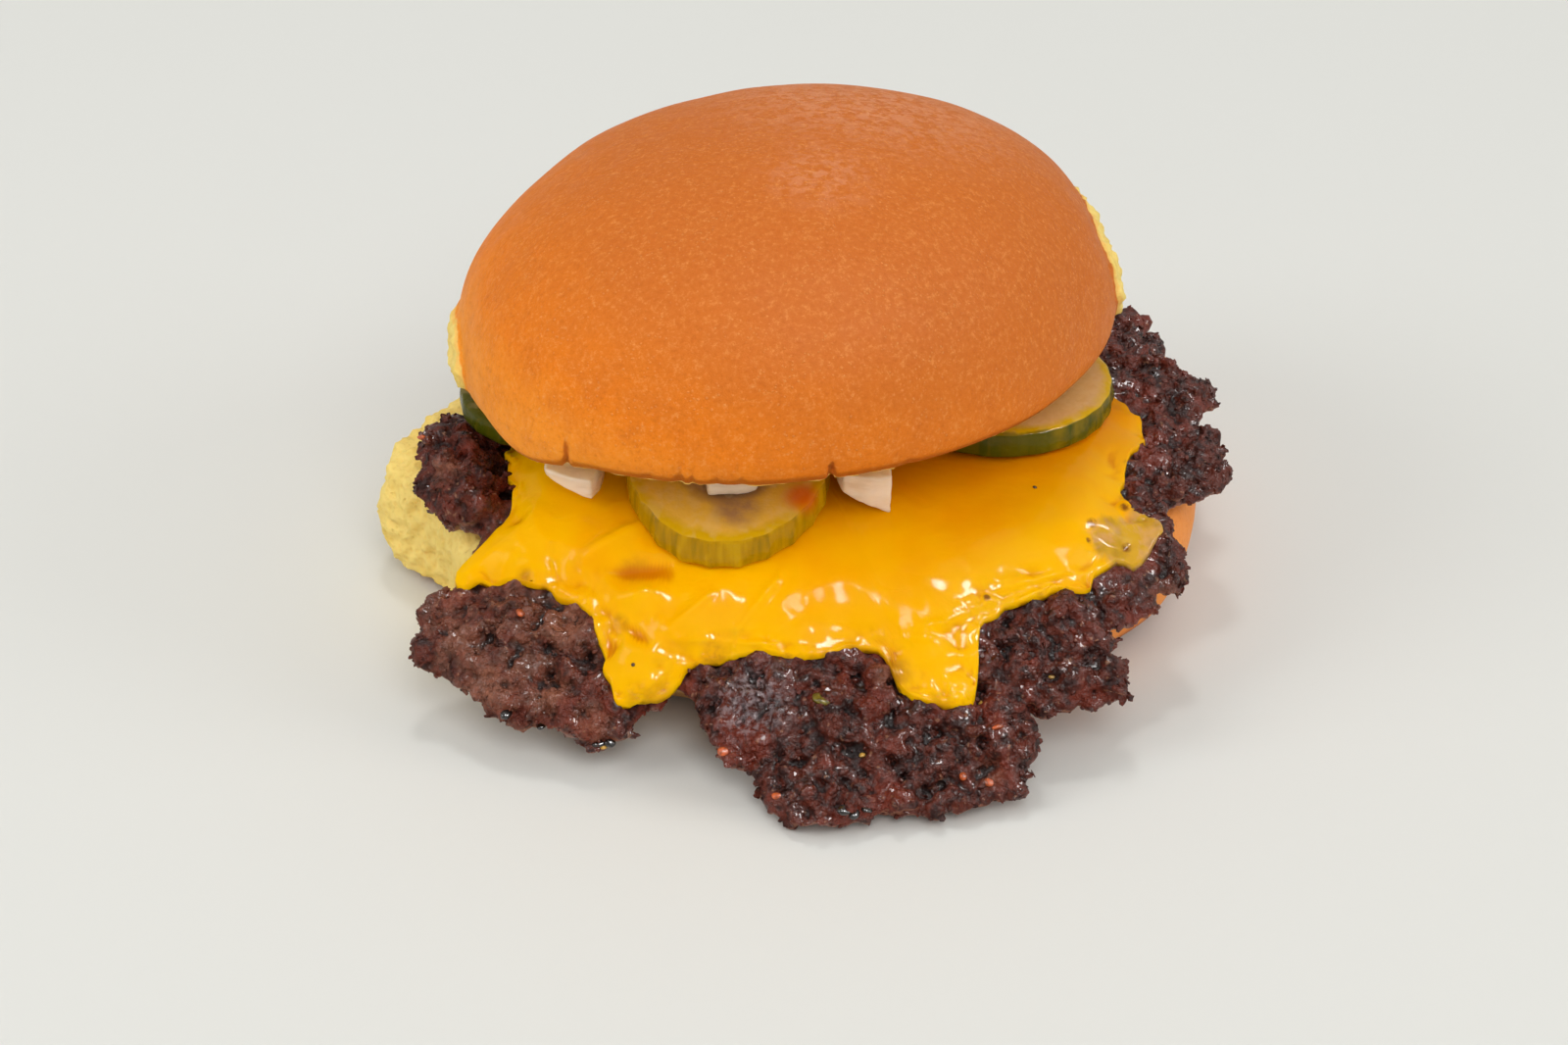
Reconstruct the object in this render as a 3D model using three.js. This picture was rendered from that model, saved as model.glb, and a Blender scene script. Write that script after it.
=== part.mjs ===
// A cheeseburger: a soft roll cut in two, one thin beef patty smashed wider than the roll, a melted
// slice of cheese, three pickle chips and diced onion. The patty and the cheese hang over the heel
// at the front, down to the plate.
// Millimetres, +Z up, the front at -Y. The origin is under the middle of the whole burger, on the plate.
import * as THREE from "three";
import { SimplexNoise } from "three/addons/math/SimplexNoise.js";

// ---- Driving sizes -------------------------------------------------------------------------------

const clearance = 0.4; // between two pieces that lie on each other

const heel = {
  centre: [0.3, -7],
  height: 21,
  tornSide: 184, // where the roll was pulled off its neighbour, degrees from +X
};

// The line along which the meat folds over the heel: a rounded square about the heel's centre.
const fold = { halfWidth: 55, halfDepth: 43, squareness: 2.5, bendWidth: 9, bendStart: 4 };

const patty = {
  centre: [5, -19],
  thickness: 6,
  rimThickness: 3.4,
  rimGap: 0.3, // the least height of its hanging rim above the plate
  lowestMiddle: 2.5, // the least height of the middle of its thickness
  cragDepth: 1.5,
  lump: { at: [-47, -27], height: 5.5, reach: 9 }, // a crumpled piece at the left
};

const cheese = { centre: [2, -24], thickness: 2.1, rimThickness: 0.9 };

const crown = {
  centre: [0.9, -11],
  halfWidth: 45.2,
  halfDepth: 52.4,
  squareness: 2.06,
  turn: -33.5, // about +Z, degrees
  underside: 35.6, // height of the cut face's middle
  belly: 4.5, // from the cut face to the widest ring
  dome: 31.9, // from the widest ring to the top
  plumpness: 2.26,
  lean: -7, // the front sits higher, on the pickles and onion
  roll: 1.2,
  // where it was torn off its neighbours, and where it is pressed flatter: distances from its middle
  flats: [
    { facing: 11, rise: 17, distance: 48.2, torn: true },
    { facing: 184, rise: -6, distance: 47.2, torn: true },
    { facing: 163, rise: 25, distance: 46.6 },
    { facing: 152, rise: 37, distance: 44 },
  ],
};

const pickles = [
  { name: "pickle_front", at: [-8.2, -37.6], radius: 14.4, thickness: 4.8, ridges: 22 },
  { name: "pickle_right", at: [32, -14.5], radius: 16.2, thickness: 4.4, ridges: 25 },
  { name: "pickle_left", at: [-34, -15], radius: 13.4, thickness: 3.2, ridges: 18 },
];

const onions = [
  { name: "onion_left", at: [-29.4, -36.6], size: [8, 7, 4.6], turn: -14 },
  { name: "onion_middle", at: [-7.6, -38.2], size: [8.4, 7.4, 3.4], turn: 4 },
  { name: "onion_right", at: [11.8, -36.9], size: [8.6, 8, 5.6], turn: 12 },
];

// How steeply the patty hangs once it leaves the heel, as rise over run, by degrees from +X.
const hang = [
  [-180, 0.12], [-160, 0.35], [-140, 0.62], [-120, 0.74], [-90, 0.74], [-70, 0.7], [-50, 0.55],
  [-30, 0.42], [-15, 0.32], [0, 0.2], [20, 0.1], [60, 0.05], [120, 0.05], [160, 0.08],
];

// The heel's outline at its widest: reach from its centre, by degrees from +X.
const heelOutline = [
  [-172.5, 61.6], [-165, 58.5], [-152, 55], [-132, 52], [-110, 49.5], [-90, 49], [-62, 53.5], [-35, 60.5],
  [-15, 61.6], [0, 62.6], [17, 65.5], [30, 68.3], [40, 67.5], [50, 61], [65, 53.5], [90, 49.5], [120, 49],
  [145, 50], [160, 51.5], [172, 54.5], [179.5, 59],
];

// The patty's ragged outline: reach from its centre, by degrees from +X.
const pattyLobes = {
  leftSide: [[-205, 50.5], [-196, 50], [-189, 52], [-183, 57.5], [-176, 58.5], [-168, 57.5], [-161.5, 54], [-158, 51]],
  leftFront: [
    [-155.5, 57.5], [-153.5, 62], [-147, 66], [-143.5, 62.3], [-137, 62.8], [-130, 59.6], [-121.5, 58.2],
    [-119.3, 54], [-118.3, 49.5],
  ],
  front: [
    [-114.5, 46.5], [-111.5, 48.5], [-109, 51.3], [-104.5, 52.6], [-99.5, 55.2], [-96, 60.3], [-91, 61.6],
    [-86.5, 62.8], [-82, 60.6], [-77.5, 62.6], [-70.5, 61.2], [-63, 62], [-60.6, 59], [-59.3, 53],
  ],
  rightFront: [
    [-56.5, 55], [-51.5, 57.2], [-46, 60], [-43, 59], [-40.5, 53], [-38.5, 52], [-34, 56], [-28.5, 56.6],
    [-22.5, 57], [-19, 52.5],
  ],
  rightSide: [
    [-13, 51.4], [-8.5, 53], [-4.5, 57.3], [-0.3, 60.6], [4, 59], [9, 57], [13, 58.8], [16.6, 63], [20.5, 62.6],
    [24.5, 60], [30, 61], [35.5, 63], [39, 65.4], [43, 62],
  ],
  back: [
    [50, 59], [58, 61.5], [68, 57.5], [78, 60.5], [88, 56.5], [98, 59.5], [108, 57], [118, 60], [128, 56.5],
    [138, 55], [146, 54],
  ],
};

// The melted slice's outline, in the same form: four corners, its runs and the thin film at the right.
const cheeseLobes = [
  [-180, 42], [-168, 43], [-161, 50], [-156.5, 54], [-150, 48], [-143, 43.5], [-132, 41.6], [-126, 45],
  [-120, 48.3], [-114, 46], [-109, 40.5], [-104, 37.3], [-92, 37.6], [-80, 37.2], [-73, 39], [-68, 46.5],
  [-63.5, 48.5], [-58, 46], [-52, 41.4], [-45, 42.5], [-37, 45.6], [-31, 50], [-25, 55.5], [-19, 55],
  [-13, 47.5], [-5, 47.5], [3, 49.2], [10, 51.2], [16, 51.8], [21, 47], [45, 41], [75, 44], [100, 50],
  [118, 53.5], [130, 48], [155, 41],
];

// Soft swells and dents that the melted cheese shows: x, y, height, reach.
const cheeseSwells = [
  [-19.5, -53, -1.5, 4.2], [-21, -49, 1.1, 5], [-11, -57, 1.1, 5.5], [1, -60, 0.9, 5],
  [24, -58, 0.9, 7], [-38, -46, 0.7, 6], [37, -47, 0.7, 5], [-26, -57, 0.8, 3.5],
];

// ---- Curves, noise and the surface that everything lies on ----------------------------------------

const degrees = THREE.MathUtils.radToDeg;
const radians = THREE.MathUtils.degToRad;
const { clamp, smoothstep } = THREE.MathUtils;

let seed = 1971;
const noise = new SimplexNoise({
  random: () => {
    seed = (seed * 16807) % 2147483647;
    return seed / 2147483647;
  },
});

// A closed smooth curve through [degrees, value] pairs that stand in order, as a function of degrees.
function closedCurve(pairs) {
  const n = pairs.length;
  const at = (i) => {
    const turns = Math.floor(i / n);
    const [angle, value] = pairs[i - turns * n];
    return [angle + 360 * turns, value];
  };
  return (angle) => {
    const start = pairs[0][0];
    const a = start + ((((angle - start) % 360) + 360) % 360);
    let i = 0;
    while (at(i + 1)[0] <= a) i++;
    const [[a0, v0], [a1, v1], [a2, v2], [a3, v3]] = [at(i - 1), at(i), at(i + 1), at(i + 2)];
    const span = a2 - a1;
    const t = (a - a1) / span;
    const m1 = ((v2 - v0) / (a2 - a0)) * span;
    const m2 = ((v3 - v1) / (a3 - a1)) * span;
    const [t2, t3] = [t * t, t * t * t];
    return (2 * t3 - 3 * t2 + 1) * v1 + (t3 - 2 * t2 + t) * m1 + (3 * t2 - 2 * t3) * v2 + (t3 - t2) * m2;
  };
}

const hangAt = closedCurve(hang);
const heelReach = closedCurve(heelOutline);
const pattyReach = closedCurve(Object.values(pattyLobes).flat());
const cheeseReach = closedCurve(cheeseLobes);

// Radius of a rounded square with these half sizes, in a direction given in radians.
function squareRadius(angle, halfWidth, halfDepth, squareness) {
  const x = Math.abs(Math.cos(angle)) / halfWidth;
  const y = Math.abs(Math.sin(angle)) / halfDepth;
  return (x ** squareness + y ** squareness) ** (-1 / squareness);
}

const softMax = (value, floor, width) => floor + (value - floor + Math.hypot(value - floor, width)) / 2;

// How far a point is outside the fold line, less than zero inside it.
function pastFold(x, y) {
  const [dx, dy] = [x - heel.centre[0], y - heel.centre[1]];
  return Math.hypot(dx, dy) - squareRadius(Math.atan2(dy, dx), fold.halfWidth, fold.halfDepth, fold.squareness);
}

// Height of the patty's middle: flat on the heel, then hanging to the plate.
function pattyMiddle(x, y) {
  const past = pastFold(x, y) + fold.bendStart;
  const slope = hangAt(degrees(Math.atan2(y - heel.centre[1], x - heel.centre[0])));
  const drop = (slope * (Math.hypot(past, fold.bendWidth) + past)) / 2;
  return softMax(heel.height + clearance + patty.thickness / 2 - drop, patty.lowestMiddle, 1.5);
}

function bump(x, y, { at, height, reach }) {
  return height * Math.exp(-((x - at[0]) ** 2 + (y - at[1]) ** 2) / reach ** 2);
}

function swell(x, y) {
  return cheeseSwells.reduce((sum, [sx, sy, height, reach]) => sum + bump(x, y, { at: [sx, sy], height, reach }), 0);
}

const pattyTop = (x, y) => pattyMiddle(x, y) + patty.thickness / 2;
const pattyUnderside = (x, y) => pattyMiddle(x, y) - patty.thickness / 2;

// 0 under the cheese and 1 outside it.
function bare(x, y) {
  const [dx, dy] = [x - cheese.centre[0], y - cheese.centre[1]];
  return smoothstep(Math.hypot(dx, dy) / cheeseReach(degrees(Math.atan2(dy, dx))), 1.04, 1.12);
}

// Crags of coarse mince, in the range -1 to 1.
function crag(x, y, z = 0) {
  const ridge = 1 - 2 * Math.abs(noise.noise3d(x / 9, y / 9, z));
  const grain = noise.noise3d(x / 3.6, y / 3.6, z + 7);
  return clamp(0.55 * ridge + 0.6 * grain, -1, 1);
}

const cheeseTop = (x, y) => pattyTop(x, y) + clearance + cheese.thickness + swell(x, y);

// ---- Solids ---------------------------------------------------------------------------------------

// Turns that crowd towards the front, where outlines are the most broken.
const frontFirst = (turn) => turn - 0.35 * Math.cos(turn);

// A closed solid from rings that run from the underside's middle, out, up and in to the top's middle.
// place(turn, ring) gives a point: turn in radians, ring an entry of rings. The first and the last
// ring are single points.
function loft(rings, spokes, place) {
  const points = [place(0, rings[0])];
  for (const ring of rings.slice(1, -1))
    for (let i = 0; i < spokes; i++) points.push(place((2 * Math.PI * i) / spokes, ring));
  points.push(place(0, rings.at(-1)));
  const at = (ring, i) => 1 + (ring - 1) * spokes + (i % spokes);
  const faces = [];
  for (let i = 0; i < spokes; i++) {
    faces.push(0, at(1, i + 1), at(1, i));
    for (let r = 1; r < rings.length - 2; r++) {
      faces.push(at(r, i), at(r, i + 1), at(r + 1, i));
      faces.push(at(r, i + 1), at(r + 1, i + 1), at(r + 1, i));
    }
    faces.push(at(rings.length - 2, i), at(rings.length - 2, i + 1), points.length - 1);
  }
  const geometry = new THREE.BufferGeometry().setFromPoints(points);
  geometry.setIndex(faces);
  geometry.computeVertexNormals();
  return geometry;
}

function heelGeometry() {
  // inset from the widest outline and height, up the side; then the cut face
  const side = [[13, 0], [8, 0], [4.6, 0.9], [2, 3.4], [0.4, 7.4], [0, 11], [0.7, 14.6], [2.2, 18], [3.6, 20.2], [4.6, 21]];
  const underside = [0, 0.4, 0.72].map((share) => ({ share, z: 0 }));
  const cutFace = [0.86, 0.66, 0.4, 0].map((share) => ({ share, z: heel.height }));
  const rings = [...underside, ...side.map(([inset, z]) => ({ inset, z })), ...cutFace];
  return loft(rings, 72, (turn, ring) => {
    const [c, s] = [Math.cos(turn), Math.sin(turn)];
    let reach = heelReach(degrees(turn)) + 0.5 * noise.noise3d(2 * c, 2 * s, 0);
    if (ring.share === undefined) {
      // the torn side stands out in shreds of crumb
      const torn = smoothstep(Math.cos(turn - radians(heel.tornSide)), 0.8, 0.93) * smoothstep(ring.z, 2, 7);
      reach += torn * 1.5 * noise.noise3d(9 * c, 9 * s, ring.z / 3.5) - ring.inset;
    } else {
      reach *= ring.share;
    }
    const [x, y] = [heel.centre[0] + reach * c, heel.centre[1] + reach * s];
    // the meat presses the roll's shoulder down
    const room = clearance + 0.45 * smoothstep(pastFold(x, y), -14, -4);
    return new THREE.Vector3(x, y, Math.min(ring.z, pattyUnderside(x, y) - room));
  });
}

function pattyGeometry() {
  const underside = [0, 0.3, 0.48, 0.6, 0.7, 0.79, 0.88, 0.955].map((share) => ({ share, side: -1 }));
  const rim = [[0.985, -0.8], [1, 0], [0.985, 0.8]].map(([share, side]) => ({ share, side }));
  const top = [0.97, 0.94, 0.905, 0.87, 0.83, 0.79, 0.745, 0.7, 0.62, 0.5, 0.3, 0].map((share) => ({ share, side: 1 }));
  return loft([...underside, ...rim, ...top], 108, (evenTurn, ring) => {
    const turn = frontFirst(evenTurn);
    const [c, s] = [Math.cos(turn), Math.sin(turn)];
    const ragged = ring.share > 0.9 ? 1.3 * noise.noise3d(14 * c, 14 * s, 3 * ring.share) : 0;
    const reach = (pattyReach(degrees(turn)) + ragged) * ring.share;
    const [x, y] = [patty.centre[0] + reach * c, patty.centre[1] + reach * s];
    const thinning = smoothstep(ring.share, 0.78, 1);
    const half = THREE.MathUtils.lerp(patty.thickness, patty.rimThickness, thinning) / 2;
    // outside the cheese the top breaks into crags, and so does the underside of what overhangs
    const crags = patty.cragDepth * crag(x, y, ring.side);
    const free = ring.side > 0 ? bare(x, y) : smoothstep(pastFold(x, y), 7, 13) * 0.6;
    const lump = bump(x, y, patty.lump) * (ring.side > 0 ? bare(x, y) : 0.2);
    const z = pattyMiddle(x, y) + ring.side * half + crags * free + lump;
    return new THREE.Vector3(x, y, Math.max(z, patty.rimGap + 0.3 * patty.rimThickness * (ring.side + 1)));
  });
}

function cheeseGeometry() {
  const under = [0, 0.24, 0.46, 0.62, 0.76, 0.88, 0.96].map((share) => ({ share, up: 0 }));
  const edge = [{ share: 0.985, up: 0.12 }, { share: 1, up: 0.45 }, { share: 0.985, up: 0.85 }];
  const over = [0.94, 0.87, 0.78, 0.66, 0.5, 0.3, 0].map((share) => ({ share, up: 1 }));
  return loft([...under, ...edge, ...over], 84, (evenTurn, ring) => {
    const turn = frontFirst(evenTurn);
    const reach = cheeseReach(degrees(turn)) * ring.share;
    const x = cheese.centre[0] + reach * Math.cos(turn);
    const y = cheese.centre[1] + reach * Math.sin(turn);
    const thick = THREE.MathUtils.lerp(cheese.thickness, cheese.rimThickness, smoothstep(ring.share, 0.8, 1));
    const top = thick + swell(x, y) * (thick / cheese.thickness);
    return new THREE.Vector3(x, y, pattyTop(x, y) + clearance + top * ring.up);
  });
}

function pickleGeometry({ at, radius, thickness, ridges }) {
  // share of the radius, share of the thickness
  const rings = [[0, 0], [0.5, 0], [0.9, 0], [0.99, 0.1], [1, 0.4], [0.985, 0.92], [0.9, 1], [0.45, 0.94], [0, 0.9]];
  return loft(rings, 2 * ridges, (turn, [share, up]) => {
    const wobble = 1 + 0.025 * Math.cos(2 * turn + radius) + 0.02 * Math.cos(3 * turn);
    const ridge = share > 0.95 ? 0.2 * Math.cos(ridges * turn) : 0;
    const reach = (radius * wobble + ridge) * share;
    const [x, y] = [at[0] + reach * Math.cos(turn), at[1] + reach * Math.sin(turn)];
    return new THREE.Vector3(x, y, cheeseTop(x, y) + clearance + thickness * up);
  });
}

// A dice of onion: a box with worn edges, one side cut slanting, laid flat on what is under it.
function onionGeometry({ at, size, turn }, supportHeight) {
  const geometry = new THREE.BoxGeometry(...size, 3, 3, 2);
  const position = geometry.getAttribute("position");
  const point = new THREE.Vector3();
  for (let i = 0; i < position.count; i++) {
    point.fromBufferAttribute(position, i);
    const corner = (Math.abs(point.x) / size[0]) ** 2 + (Math.abs(point.y) / size[1]) ** 2;
    const shrink = 1 - 0.22 * Math.max(0, corner * 2 - 0.55);
    const slant = 1 - 0.16 * (point.z / size[2] + 0.5) * Math.sign(point.y);
    point.set(point.x * shrink, point.y * shrink * slant, point.z);
    point.applyAxisAngle(new THREE.Vector3(0, 0, 1), radians(turn));
    const [x, y] = [at[0] + point.x, at[1] + point.y];
    position.setXYZ(i, x, y, supportHeight(x, y) + clearance + point.z + size[2] / 2);
  }
  geometry.computeVertexNormals();
  return geometry;
}

function crownGeometry() {
  const cutFace = [[0, 0.7], [0.45, 0.6], [0.78, 0.2]];
  const lip = [[0.88, 0], [0.94, 0.15 * crown.belly], [0.985, 0.5 * crown.belly], [1, crown.belly]];
  const domeRings = 13;
  const dome = Array.from({ length: domeRings }, (_, i) => {
    const lift = ((i + 1) / domeRings) * (Math.PI / 2);
    const share = i + 1 < domeRings ? Math.cos(lift) ** (2 / crown.plumpness) : 0;
    return [share, crown.belly + crown.dome * Math.sin(lift) ** (2 / crown.plumpness)];
  });
  const tilt = new THREE.Matrix4()
    .makeRotationY(radians(-crown.roll))
    .multiply(new THREE.Matrix4().makeRotationX(radians(crown.lean)));
  const flats = crown.flats.map(({ facing, rise, distance, torn }) => {
    const normal = new THREE.Vector3().setFromSphericalCoords(1, radians(90 - rise), radians(facing));
    return { normal: new THREE.Vector3(normal.z, normal.x, normal.y), distance, torn };
  });
  return loft([...cutFace, ...lip, ...dome], 70, (turn, [share, z]) => {
    const outline = squareRadius(turn - radians(crown.turn), crown.halfWidth, crown.halfDepth, crown.squareness);
    const [c, s] = [Math.cos(turn), Math.sin(turn)];
    const reach = outline * share + 0.5 * share * noise.noise3d(1.6 * c, 1.6 * s, z / 25 + 5);
    const point = new THREE.Vector3(reach * c, reach * s, z).applyMatrix4(tilt);
    for (const { normal, distance, torn } of flats) {
      const past = point.dot(normal) - distance;
      if (past > 0) point.addScaledVector(normal, -0.85 * past);
      // torn crumb is rough
      if (past > 0 && torn) point.addScaledVector(normal, 0.6 * noise.noise3d(9 * c, 9 * s, z / 3.5));
    }
    return point.add(new THREE.Vector3(...crown.centre, crown.underside));
  });
}

// ---- The burger -----------------------------------------------------------------------------------

const finishes = {
  crust: new THREE.MeshStandardMaterial({ color: 0xd17a37, roughness: 0.5 }),
  beef: new THREE.MeshStandardMaterial({ color: 0x3f2522, roughness: 0.45 }),
  cheese: new THREE.MeshStandardMaterial({ color: 0xf5b004, roughness: 0.3 }),
  pickle: new THREE.MeshStandardMaterial({ color: 0x8f8a2a, roughness: 0.3 }),
  onion: new THREE.MeshStandardMaterial({ color: 0xe6dccb, roughness: 0.4 }),
};

const burger = new THREE.Group();
function addPiece(name, geometry, finish) {
  const mesh = new THREE.Mesh(geometry, finishes[finish]);
  mesh.name = name;
  burger.add(mesh);
}

addPiece("bun_heel", heelGeometry(), "crust");
addPiece("patty", pattyGeometry(), "beef");
addPiece("cheese", cheeseGeometry(), "cheese");
for (const pickle of pickles) addPiece(pickle.name, pickleGeometry(pickle), "pickle");

// the middle dice lies on the front chip, the others on the cheese
const onChip = (x, y) => cheeseTop(x, y) + clearance + pickles[0].thickness;
for (const onion of onions) {
  const support = onion.name === "onion_middle" ? onChip : cheeseTop;
  addPiece(onion.name, onionGeometry(onion, support), "onion");
}
addPiece("bun_crown", crownGeometry(), "crust");

// The origin goes under the middle of the whole burger.
const bounds = new THREE.Box3().setFromObject(burger);
const middle = bounds.getCenter(new THREE.Vector3());
burger.position.set(-middle.x, -middle.y, -bounds.min.z);

export default burger;
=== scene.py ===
import math
import random
import time

import bmesh
import bpy
import numpy as np
from mathutils import Matrix, Vector, noise
from mathutils.bvhtree import BVHTree
from mathutils.kdtree import KDTree


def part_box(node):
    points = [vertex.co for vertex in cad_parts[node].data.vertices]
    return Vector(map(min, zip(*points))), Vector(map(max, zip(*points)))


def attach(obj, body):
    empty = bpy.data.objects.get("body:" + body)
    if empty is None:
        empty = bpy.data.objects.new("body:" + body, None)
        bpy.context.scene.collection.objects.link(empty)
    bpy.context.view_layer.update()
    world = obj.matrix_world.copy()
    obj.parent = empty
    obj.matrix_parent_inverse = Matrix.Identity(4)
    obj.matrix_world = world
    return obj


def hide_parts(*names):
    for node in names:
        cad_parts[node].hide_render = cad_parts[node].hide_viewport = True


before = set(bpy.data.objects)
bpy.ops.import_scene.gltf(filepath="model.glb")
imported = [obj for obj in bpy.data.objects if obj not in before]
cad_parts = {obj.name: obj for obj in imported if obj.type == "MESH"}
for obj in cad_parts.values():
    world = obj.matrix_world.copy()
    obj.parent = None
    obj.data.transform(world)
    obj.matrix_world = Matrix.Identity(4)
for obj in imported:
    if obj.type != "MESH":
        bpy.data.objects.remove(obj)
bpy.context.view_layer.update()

scene = bpy.context.scene
mm = 0.001
started = time.time()
noiseSeed = 2
noise.seed_set(noiseSeed)  # without a seed Blender draws its noise vectors from the clock

# places are millimetres from the middle of the lower bun, heights are from the table
heelLow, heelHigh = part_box("bun_heel")
heelMiddle = (heelLow + heelHigh) / 2


def place(x, y, z=0.0):
    return Vector((heelMiddle.x + x * mm, heelMiddle.y + y * mm, z * mm))


# the camera: in front, looking down at the burger
viewStyle = {
    "elevation": 32, "distance": 0.545, "lens": 85, "sensor": 36,
    "aim": (-1.4, -14, 13),
    "frame": (1600, 1066),  # width and height in pixels
    "missHeight": 15,  # where a sightline that misses a surface ends
}
viewRise = math.radians(viewStyle["elevation"])
viewBack = Vector((0, -math.cos(viewRise), math.sin(viewRise)))
viewPoint = place(*viewStyle["aim"]) + viewBack * viewStyle["distance"]


def sightline(px, py):
    # the direction in which this pixel of the frame looks
    wide, high = viewStyle["frame"]
    scale = viewStyle["sensor"] / viewStyle["lens"] / wide
    right = Vector((1, 0, 0))
    return right * (px - wide / 2) * scale - viewBack.cross(right) * (py - high / 2) * scale - viewBack


def atHeight(px, py, height):
    sight = sightline(px, py)
    return viewPoint + sight * ((viewPoint.z - height) / -sight.z)


def seen(tree, px, py):
    # the place on a surface that shows at this pixel, or the one nearest to its sightline
    hit = tree.ray_cast(viewPoint, sightline(px, py))[0]
    return hit or tree.find_nearest(atHeight(px, py, viewStyle["missHeight"] * mm))[0]


def spotted(tree, entries):
    # the same entries, each with its place on a surface instead of its pixel
    return [(seen(tree, *pixel), *rest) for pixel, *rest in entries]


def ease(low, high, value):
    t = min(max((value - low) / (high - low), 0.0), 1.0)
    return t * t * (3 - 2 * t)


def nudge(bm, tree, moves):
    # moves the surface about a pixel by some millimetres, less and less out to its reach
    moves = [(spot, Vector(move) * mm, reach) for spot, move, reach in spotted(tree, moves)]
    for v in bm.verts:
        shifts = (move * ease(reach, 0, (v.co - spot).length / mm) for spot, move, reach in moves)
        v.co += sum(shifts, Vector())


def lumps(co, size, seed):
    # soft noise from -1 to 1, its lumps about this many millimetres apart
    return noise.noise(co / (size * mm) + Vector((seed, 2.3 * seed, 7.1 * seed)))


def relief(v, layers):
    # a sum of soft noises, each given by its size, its depth and its seed
    return sum(depth * lumps(v.co, size, seed) for size, depth, seed in layers)


def dent(v, spot, reach):
    # 1 at a spot and less and less around it
    return math.exp(-(((v.co - spot).length / mm / reach) ** 2))


def done(stage):
    print(stage, "done", round(time.time() - started, 1))


# meshes

meshStyle = {
    "weld": 0.002,
    "pairAngle": 50, "pairShape": 60,  # degrees within which two triangles make a quad
    "batch": 150,  # lumps that are added at a time, because a big mesh is slow to add to
}


def nodeMesh(name):
    # a welded copy of a node, its triangles paired into quads
    bm = bmesh.new()
    bm.from_mesh(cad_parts[name].data)
    bmesh.ops.remove_doubles(bm, verts=bm.verts, dist=meshStyle["weld"] * mm)
    bmesh.ops.join_triangles(
        bm, faces=bm.faces, angle_face_threshold=math.radians(meshStyle["pairAngle"]),
        angle_shape_threshold=math.radians(meshStyle["pairShape"]),
    )
    return bm


def meshOf(name, bm):
    mesh = bpy.data.meshes.new(name)
    bm.to_mesh(mesh)
    bm.free()
    return mesh


def placed(name, content):
    # an object in the scene
    made = bpy.data.objects.new(name, content)
    scene.collection.objects.link(made)
    return made


def shaped(bm, *modifiers):
    # the mesh after these modifiers, as a new bmesh
    mesh = meshOf("shaping", bm)
    blank = placed("shaping", mesh)
    for kind, settings in modifiers:
        modifier = blank.modifiers.new(kind.lower(), kind)
        for key, value in settings.items():
            setattr(modifier, key, value)
    result = bmesh.new()
    result.from_object(blank, bpy.context.evaluated_depsgraph_get())
    bpy.data.objects.remove(blank)
    bpy.data.meshes.remove(mesh)
    return result


def rounder(levels):
    return "SUBSURF", {"levels": levels, "render_levels": levels}


def fused(size):
    return "REMESH", {"mode": "VOXEL", "voxel_size": size * mm, "use_smooth_shade": True}


def softEdges(width):
    return "BEVEL", {"width": width * mm, "segments": 2, "limit_method": "ANGLE"}


def thinned(ratio):
    return "DECIMATE", {"ratio": ratio}


def finerFaces(bm, edges):
    bmesh.ops.subdivide_edges(bm, edges=edges, cuts=1, use_grid_fill=True)
    bmesh.ops.triangulate(bm, faces=[f for f in bm.faces if len(f.verts) > 4])
    bm.normal_update()


def addLumps(bm, matrices, subdivisions=1):
    # a small ball at each matrix
    for start in range(0, len(matrices), meshStyle["batch"]):
        batch = bmesh.new()
        for matrix in matrices[start:start + meshStyle["batch"]]:
            bmesh.ops.create_icosphere(batch, subdivisions=subdivisions, radius=1.0, matrix=matrix)
        mesh = meshOf("batch", batch)
        bm.from_mesh(mesh)
        bpy.data.meshes.remove(mesh)


def pushed(bm, amount):
    # moves each vertex along its normal by amount(vertex), in millimetres
    bm.normal_update()
    moves = [(v, v.normal * (amount(v) * mm)) for v in bm.verts]
    for v, move in moves:
        v.co += move
    bm.normal_update()


def raised(bm, height):
    # keeps a mesh this many millimetres above the table
    for v in bm.verts:
        v.co.z = max(v.co.z, height * mm)


def turnedTo(normal, turn):
    # a matrix that turns +Z to a normal, after a turn about it
    return normal.to_track_quat("Z", "X").to_matrix().to_4x4() @ Matrix.Rotation(turn, 4, "Z")


def surfaceOf(name):
    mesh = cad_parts[name].data
    return BVHTree.FromPolygons([v.co for v in mesh.vertices], [p.vertices for p in mesh.polygons])


def rimTree(name):
    # finds the nearest point of a slice's sharp outer edge
    bm = nodeMesh(name)

    def sharp(e):
        return len(e.link_faces) == 2 and e.calc_face_angle() > 1.0

    rim = [v.co for v in bm.verts if any(sharp(e) for e in v.link_edges)]
    tree = KDTree(len(rim))
    for i, co in enumerate(rim):
        tree.insert(co, i)
    tree.balance()
    bm.free()
    return tree


def hollows(bm, rounds):
    # how deep each vertex lies between its neighbours, in millimetres
    bm.verts.index_update()
    bm.normal_update()
    start = np.array([v.co for v in bm.verts])
    normals = np.array([v.normal for v in bm.verts])
    ends = np.array([[v.index for v in e.verts] for e in bm.edges])
    count = np.bincount(ends.ravel(), minlength=len(start))[:, None]
    smooth = start
    for _ in range(rounds):
        total = np.zeros_like(start)
        for axis in range(3):
            total[:, axis] = np.bincount(ends[:, 0], smooth[ends[:, 1], axis], len(start))
            total[:, axis] += np.bincount(ends[:, 1], smooth[ends[:, 0], axis], len(start))
        smooth = total / count
    return ((smooth - start) * normals).sum(1) / mm


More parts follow.
